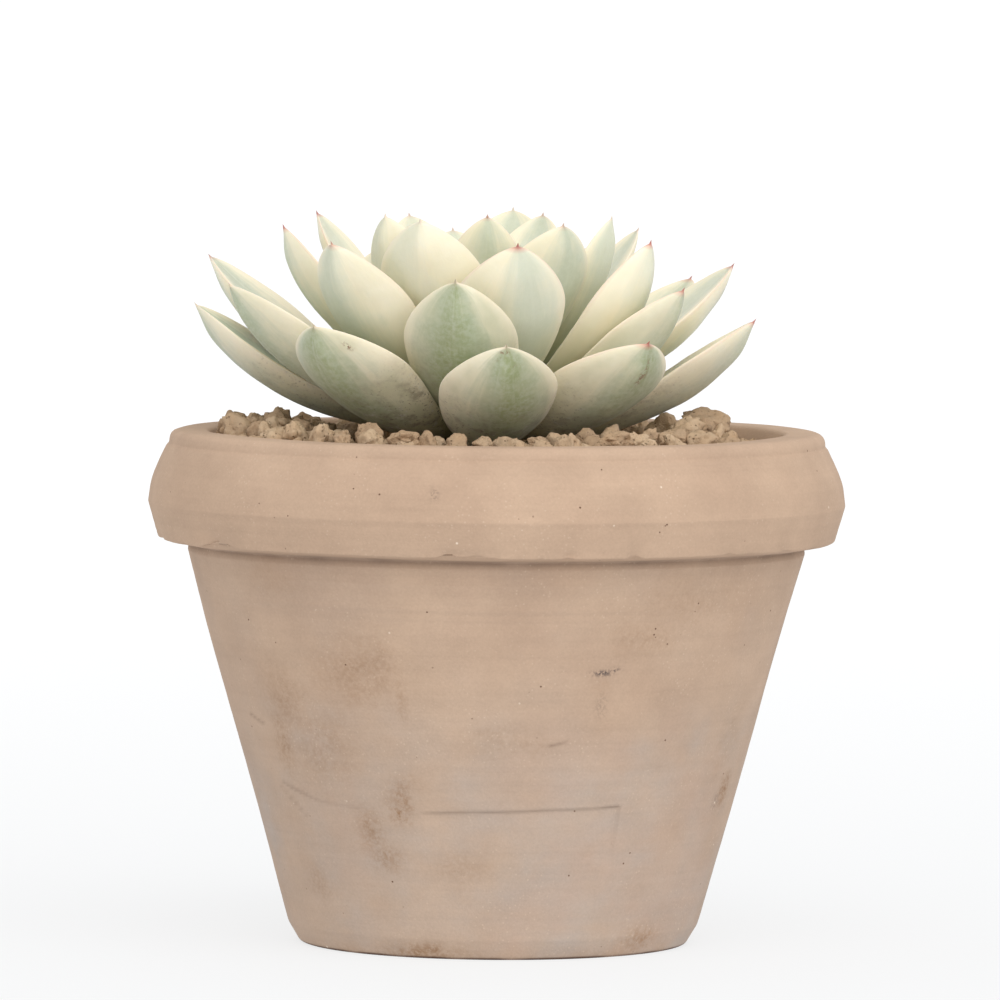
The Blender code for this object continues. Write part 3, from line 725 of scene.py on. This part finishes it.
def variegated_flesh():
    """Cream flesh whose middle is blue-green, streaked and flecked; blush at the tip, soil below."""
    finish, tree, shader, place = new_material("variegated_flesh", 0.50, 0.35)
    shader.inputs["Subsurface Weight"].default_value = 0.12
    shader.inputs["Subsurface Radius"].default_value = (1.0, 0.8, 0.45)
    shader.inputs["Subsurface Scale"].default_value = 0.003
    shader.inputs["Sheen Weight"].default_value = 0.12
    shader.inputs["Sheen Roughness"].default_value = 0.6
    uv = node(tree, "ShaderNodeUVMap", uv_map="leaf").outputs[0]
    across, along = painted(tree, "across"), painted(tree, "along")
    under, green, middle = painted(tree, "under"), painted(tree, "green"), painted(tree, "middle")
    off = maths(tree, "ABSOLUTE", across)
    off_middle = maths(tree, "ABSOLUTE", maths(tree, "SUBTRACT", across, painted(tree, "lean")))

    streak = clouds(tree, stretch(tree, uv, (9.0, 1.6, 1.0)), 1.0, 5.0, 0.62)
    blotch = clouds(tree, place, 95.0, 3.0)
    flecks = clouds(tree, place, 620.0, 3.0, 0.7)
    edge = maths(tree, "ADD", off_middle, remap(tree, streak, 0.3, 0.7, -0.16, 0.16))
    edge = maths(tree, "ADD", edge, remap(tree, blotch, 0.3, 0.7, -0.18, 0.18))
    stripe = times(tree, remap(tree, edge, 0.88, 0.22), middle)
    colour = blend_colour(tree, remap(tree, blotch, 0.35, 0.65), srgb(249, 241, 217), srgb(243, 234, 207))
    colour = blend_colour(tree, times(tree, stripe, 0.85), colour, srgb(204, 212, 196))
    # Partly painted shade: the undersides get an olive wash, scaled by the leaf's own green, that stands in
    # for the shading on the outer leaves.
    green_and_shade_wash = times(tree, times(tree, under, green), remap(tree, blotch, 0.35, 0.65, 0.35, 0.60))
    colour = blend_colour(tree, green_and_shade_wash, colour, srgb(178, 180, 148))
    deep = times(tree, remap(tree, edge, 0.85, 0.15), green)
    deep = times(tree, deep, remap(tree, flecks, 0.36, 0.60, 0.55, 1.0))
    deep = times(tree, deep, remap(tree, streak, 0.30, 0.50, 0.45, 1.0))
    colour = blend_colour(tree, deep, colour, srgb(150, 160, 118))
    # Painted shade and real colour: towards the foot the leaf turns olive and darker, more on the underside;
    # partly shade deep in the rosette, partly the foot's own greener flesh with less bloom.
    foot = times(tree, remap(tree, along, 0.72, 0.18), remap(tree, under, 0.0, 1.0, 0.45, 0.85))
    colour = blend_colour(tree, foot, colour, srgb(154, 156, 108))
    glow = times(tree, remap(tree, off, 0.80, 1.0), remap(tree, along, 0.2, 0.5, 0.0, 0.55))
    colour = blend_colour(tree, glow, colour, srgb(246, 232, 206))

    blush = painted(tree, "blush")
    rim = times(tree, remap(tree, off, 0.955, 0.995), remap(tree, along, 0.55, 0.95, 0.0, 0.32))
    colour = blend_colour(tree, times(tree, rim, blush), colour, srgb(214, 150, 138))
    tip = times(tree, remap(tree, along, 0.978, 1.0), blush)
    colour = blend_colour(tree, times(tree, tip, 0.75), colour, srgb(205, 120, 108))
    spine = times(tree, remap(tree, along, 0.992, 1.006), remap(tree, blush, 0.0, 0.9, 0.15, 0.9))
    colour = blend_colour(tree, spine, colour, srgb(160, 84, 80))

    soiled = times(tree, painted(tree, "soil"), under)
    splash = remap(tree, clouds(tree, place, 210.0, 5.0, 0.7), 0.50, 0.66)
    colour = blend_colour(tree, times(tree, soiled, times(tree, splash, 0.75)), colour, srgb(122, 108, 88))
    crust = remap(tree, clouds(tree, place, 330.0, 4.0, 0.75), 0.58, 0.67, 0.0, 0.7)
    colour = blend_colour(tree, times(tree, soiled, crust), colour, srgb(205, 203, 196))
    specks = remap(tree, clouds(tree, place, 1100.0, 2.0, 0.6), 0.62, 0.68, 0.0, 0.75)
    colour = blend_colour(tree, times(tree, soiled, specks), colour, srgb(96, 84, 64))
    scar = times(tree, painted(tree, "scar"), remap(tree, clouds(tree, place, 900.0, 3.0, 0.7), 0.47, 0.55))
    colour = blend_colour(tree, scar, colour, srgb(126, 88, 60))
    tree.links.new(colour, shader.inputs["Base Color"])

    height = maths(tree, "ADD", times(tree, flecks, 0.4), times(tree, streak, 0.6))
    roughen(tree, shader, height, 0.35, 0.0005)
    return finish


# Small brown scars: leaf number, place across (-1 to 1) and along (0 to 1), half lengths there, strength.
SCARS = (
    (0, -0.1, 0.985, 0.45, 0.006, 0.9), (0, -0.35, 0.955, 0.05, 0.006, 0.9),
    (0, 0.3, 0.93, 0.03, 0.008, 0.9), (3, 0.70, 0.90, 0.016, 0.022, 1.0),
    (5, 0.10, 0.86, 0.10, 0.035, 0.9), (5, 0.20, 0.90, 0.05, 0.05, 0.8), (9, -0.2, 0.8, 0.08, 0.05, 0.8),
    (12, 0.4, 0.7, 0.06, 0.05, 0.7),
)


def build_leaf(number, finish):
    """One leaf with its painted numbers, which say where on the leaf a point lies and how the leaf looks."""
    grid, along, side, below = leaf_grid(leaf_habit(number), number)
    rows, columns = grid.shape[:2]
    poles = np.array([grid[0].mean(axis=0), grid[-1].mean(axis=0)])
    item = grid_mesh(f"rosette_leaf_{number + 1:02d}", grid, poles=poles)
    ends = [0.0, along[-1]]

    def spread(table, tail):
        return np.concatenate([np.broadcast_to(table, (rows, columns)).ravel(), tail])

    chance = np.random.default_rng(100 + number)
    look = LOOKS.get(number, dict(middle=chance.uniform(0.5, 1.0), green=chance.uniform(0.1, 0.4), soil=0.0,
                                  lean=chance.uniform(-0.4, 0.4), blush=chance.uniform(0.0, 0.6)))
    paint(item, "across", spread(side[None, :], [0, 0]))
    paint(item, "along", spread(along[:, None], ends))
    paint(item, "under", spread((below[None, :] > 0) * 1.0, [1, 1]))
    for trait in ("middle", "green", "lean", "blush"):
        paint(item, trait, spread(np.full((1, 1), look[trait]), [look[trait]] * 2))
    low = look["soil"] * rise_between(0.85 - along, 0.0, 0.45)[:, None]
    paint(item, "soil", spread(low, [look["soil"], 0]))
    scar = np.zeros((rows, columns))
    for owner, x, t, wide, long, strength in SCARS:
        if owner == number:
            near = np.exp(-(((side[None, :] - x) / wide) ** 2 + ((along[:, None] - t) / long) ** 2) ** 2)
            scar = np.maximum(scar, strength * near)
    paint(item, "scar", spread(scar, [0, 0]))

    layer = item.data.uv_layers.new(name="leaf")
    corner = np.empty(len(item.data.loops), dtype=np.int32)
    item.data.loops.foreach_get("vertex_index", corner)
    u = spread(side[None, :] * 0.5 + 0.5 + 1.3 * (below[None, :] > 0), [0.5, 0.5]) + number * 3.1
    v = spread(along[:, None], ends)
    layer.data.foreach_set("uv", np.stack([u[corner], v[corner]], axis=1).astype(np.float32).ravel())
    item.data.materials.append(finish)
    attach(item, "root")
    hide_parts(f"leaf_{number + 1:02d}")
    return grid.reshape(-1, 3)


flesh = variegated_flesh()
leaf_points = np.concatenate([build_leaf(number, flesh) for number in range(LEAVES)])

# ---- Gravel ---------------------------------------------------------------------------------------------
# Washed pumice, rough and full of pores, poured over the mix when the plant was in: a bed of small grains,
# more grains lying loose on it, and some bigger lumps that stand out of it by the rim.
bed_low, bed_high = (np.array(corner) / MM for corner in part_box("gravel_bed"))
BED_RADIUS = bed_high[0] - 0.3
CELL = 1.5                   # spacing of the map that says how low the leaves hang
MAP_HALF = 60


def pumice():
    """Tan pumice, each grain with its own tone and dark in the pores."""
    finish, tree, shader, place = new_material("pumice", 0.95, 0.15)
    tone = painted(tree, "tone")
    cloud = clouds(tree, place, 260.0, 4.0)
    colour = blend_colour(tree, tone, srgb(168, 142, 116), srgb(212, 187, 157))
    colour = blend_colour(tree, remap(tree, cloud, 0.35, 0.7, 0.0, 0.6), colour, srgb(192, 161, 128))
    pores = cells(tree, place, 900.0)
    porous = remap(tree, clouds(tree, place, 500.0, 2.0), 0.45, 0.6)
    pits = times(tree, remap(tree, pores, 0.30, 0.12), porous)
    colour = blend_colour(tree, times(tree, pits, 0.70), colour, srgb(112, 86, 62))
    tree.links.new(colour, shader.inputs["Base Color"])
    rough = clouds(tree, place, 1400.0, 4.0, 0.7)
    height = maths(tree, "SUBTRACT", rough, pits)
    roughen(tree, shader, height, 0.8, 0.0006)
    return finish


def leaf_ceiling():
    """A map of the lowest leaf point over each cell of the pot's mouth, widened by one cell."""
    size = 2 * MAP_HALF + 1
    ceiling = np.full((size, size), 400.0)
    cell = np.round(leaf_points[:, :2] / CELL).astype(int) + MAP_HALF
    keep = np.all((cell >= 0) & (cell < size), axis=1)
    np.minimum.at(ceiling, (cell[keep, 0], cell[keep, 1]), leaf_points[keep, 2])
    wide = ceiling.copy()
    for dx in (-1, 0, 1):
        for dy in (-1, 0, 1):
            wide = np.minimum(wide, np.roll(ceiling, (dx, dy), axis=(0, 1)))
    return wide


def bed_height(x, y):
    """Height of the bed's surface: higher outside the leaves, heaped left and right, and dipped towards the
    back, at the right wall and at the front's middle."""
    outside = rise_between(np.hypot(x - STEM_X, y), 42.0, 58.0)
    heap = 2.6 * np.exp(-(((x + 53) / 12) ** 2 + ((y + 2) / 26) ** 2))
    heap = heap + 2.4 * np.exp(-(((x - 50) / 13) ** 2 + ((y + 6) / 16) ** 2))
    dip = 3.0 * rise_between(y, 5.0, 60.0)
    dip = dip + 8.0 * rise_between(x, 55.0, 62.5) * np.exp(-(((y - 4) / 32) ** 2))
    dip = dip + 2.2 * np.exp(-(((x + 1) / 15) ** 2)) * rise_between(-y, 20.0, 50.0)
    return bed_low[2] + 9.3 + 3.4 * outside - 0.5 * rise_between(-y, 30.0, 60.0) + heap - dip


def sphere_faces(subdivisions):
    """Points and faces of a unit icosphere."""
    work = bmesh.new()
    bmesh.ops.create_icosphere(work, subdivisions=subdivisions, radius=1.0)
    points = np.array([corner.co for corner in work.verts])
    faces = np.array([[corner.index for corner in face.verts] for face in work.faces])
    work.free()
    return points, faces


def lump(ball, sizes, chance, rough):
    """Stones as (stones, points, 3): a ball flattened by random planes, roughened along its radius by noise
    on three scales, stretched to its sizes and turned at random."""
    count = len(sizes)
    planes = chance.normal(size=(count, 9, 3))
    planes = planes / np.linalg.norm(planes, axis=2)[..., None]
    depth = chance.uniform(0.62, 0.95, (count, 9))
    facing = np.einsum("vk,npk->nvp", ball, planes)
    cut = np.where(facing > depth[:, None, :], depth[:, None, :] / np.maximum(facing, 1e-6), 1.0).min(axis=2)
    shape = ball[None] * cut[..., None]
    where = shape + chance.uniform(0, 30, (count, 1, 3))
    bumps = 0.34 * lattice_noise(where, 0.7, 41) + rough * lattice_noise(where, 0.3, 42)
    bumps = bumps + 0.5 * rough * lattice_noise(where, 0.13, 43)
    shape = shape * (1.0 + bumps)[..., None]
    turned = np.linalg.qr(chance.normal(size=(count, 3, 3)))[0]
    tilt = turned * np.sign(np.linalg.det(turned))[:, None, None]
    shape = np.einsum("nvk,njk->nvj", shape * chance.uniform(0.75, 1.0, (count, 1, 3)), tilt)
    return shape * (sizes / 2)[:, None, :]


def stones_mesh(name, shapes, faces, places, tones):
    """All stones of one kind as one mesh, each moved to its place and given its tone."""
    count, points = shapes.shape[:2]
    whole = (shapes + places[:, None, :]).reshape(-1, 3)
    index = (faces[None] + (np.arange(count) * points)[:, None, None]).reshape(-1, 3)
    mesh = bpy.data.meshes.new(name)
    mesh.from_pydata((whole * MM).tolist(), [], index.tolist())
    mesh.shade_smooth()
    item = bpy.data.objects.new(name, mesh)
    bpy.context.scene.collection.objects.link(item)
    paint(item, "tone", np.repeat(tones, points))
    item.data.materials.append(gravel_finish)
    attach(item, "root")
    return item


def settle(shapes, places, ceiling):
    """Lowers each stone until its top clears the leaves above it by 0.3 mm."""
    whole = shapes + places[:, None, :]
    cell = np.clip(np.round(whole[..., :2] / CELL).astype(int) + MAP_HALF, 0, 2 * MAP_HALF)
    over = whole[..., 2] - (ceiling[cell[..., 0], cell[..., 1]] - 0.3)
    places[:, 2] -= np.maximum(over.max(axis=1), 0.0)
    return places


def scatter(chance, count, low, high, crowd, inner, outer, taken):
    """Random places on the bed that keep apart from each other by crowd times their mean size."""
    found = []
    for _ in range(count):
        size = chance.uniform(low, high)
        reach = math.sqrt(chance.uniform(inner**2, (outer - 0.45 * size) ** 2))
        around = chance.uniform(0, 2 * math.pi)
        x, y = reach * math.sin(around), -reach * math.cos(around)
        if all(math.hypot(x - a, y - b) > crowd * (size + s) / 2 for a, b, s in taken + found):
            found.append((x, y, size))
    return found


gravel_finish = pumice()
ceiling = leaf_ceiling()


def build_bed():
    """The bed under the loose grains: rings from the pot's wall to the stem, pitted by noise, flat below."""
    share = np.concatenate([np.linspace(0, 1, 60), [1.0, 0.0]])[:, None]
    around = np.arange(180)[None, :] * 2 * math.pi / 180
    radius = BED_RADIUS * (1 - share) + 9.0 * share
    x, y = STEM_X * share + radius * np.sin(around), -radius * np.cos(around)
    top = bed_height(x, y) - 2.6
    flat = np.stack([x, y, 0 * x], axis=-1)
    top = top + 1.1 * lattice_noise(flat, 3.2, 51) + 0.5 * lattice_noise(flat, 1.3, 52)
    top[-2:] = bed_low[2]
    bed = grid_mesh("gravel_bed_fines", np.stack([x, y, top], axis=-1)[::-1], closed_rows=True)
    paint(bed, "tone", np.full(len(bed.data.vertices), 0.15))
    bed.data.materials.append(gravel_finish)
    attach(bed, "root")
    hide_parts("gravel_bed")


build_bed()
chance = np.random.default_rng(11)
big_ball, big_faces = sphere_faces(5)
lumps = []
for number in range(1, 9):
    low, high = (np.array(corner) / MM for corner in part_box(f"pumice_stone_{number}"))
    size = (high - low)[None, :] * 1.08
    place = ((low + high) / 2)[None, :] - (0.5, 0, 1.6)
    shape = lump(big_ball, size, chance, 0.14)
    item = stones_mesh(f"rough_stone_{number}", shape, big_faces, place, chance.uniform(0.0, 0.4, 1))
    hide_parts(f"pumice_stone_{number}")
    lumps.append((place[0, 0], place[0, 1], 0.8 * size[0, :2].mean()))

ball, faces = sphere_faces(4)
near_rim = scatter(chance, 1800, 5.5, 10.5, 0.80, 47.0, BED_RADIUS + 1.5, lumps)
x, y, size = (np.array(column) for column in zip(*near_rim))
shapes = lump(ball, size[:, None] * chance.uniform(0.75, 1.15, (len(size), 3)), chance, 0.18)
places = np.stack([x, y, bed_height(x, y) + chance.uniform(0.4, 1.8, len(size))], axis=1)
stones_mesh("rim_grains", shapes, faces, settle(shapes, places, ceiling), chance.uniform(0.0, 0.9, len(size)))

ball, faces = sphere_faces(2)
filler = scatter(chance, 3600, 3.2, 6.2, 0.68, 11.0, BED_RADIUS + 0.8, [])
x, y, size = (np.array(column) for column in zip(*filler))
shapes = lump(ball, size[:, None] * chance.uniform(0.75, 1.1, (len(size), 3)), chance, 0.08)
places = np.stack([x, y, bed_height(x, y) - 0.9 + chance.uniform(-0.6, 0.6, len(size))], axis=1)
tones = chance.uniform(0.0, 0.8, len(size))
stones_mesh("filler_grains", shapes, faces, settle(shapes, places, ceiling), tones)
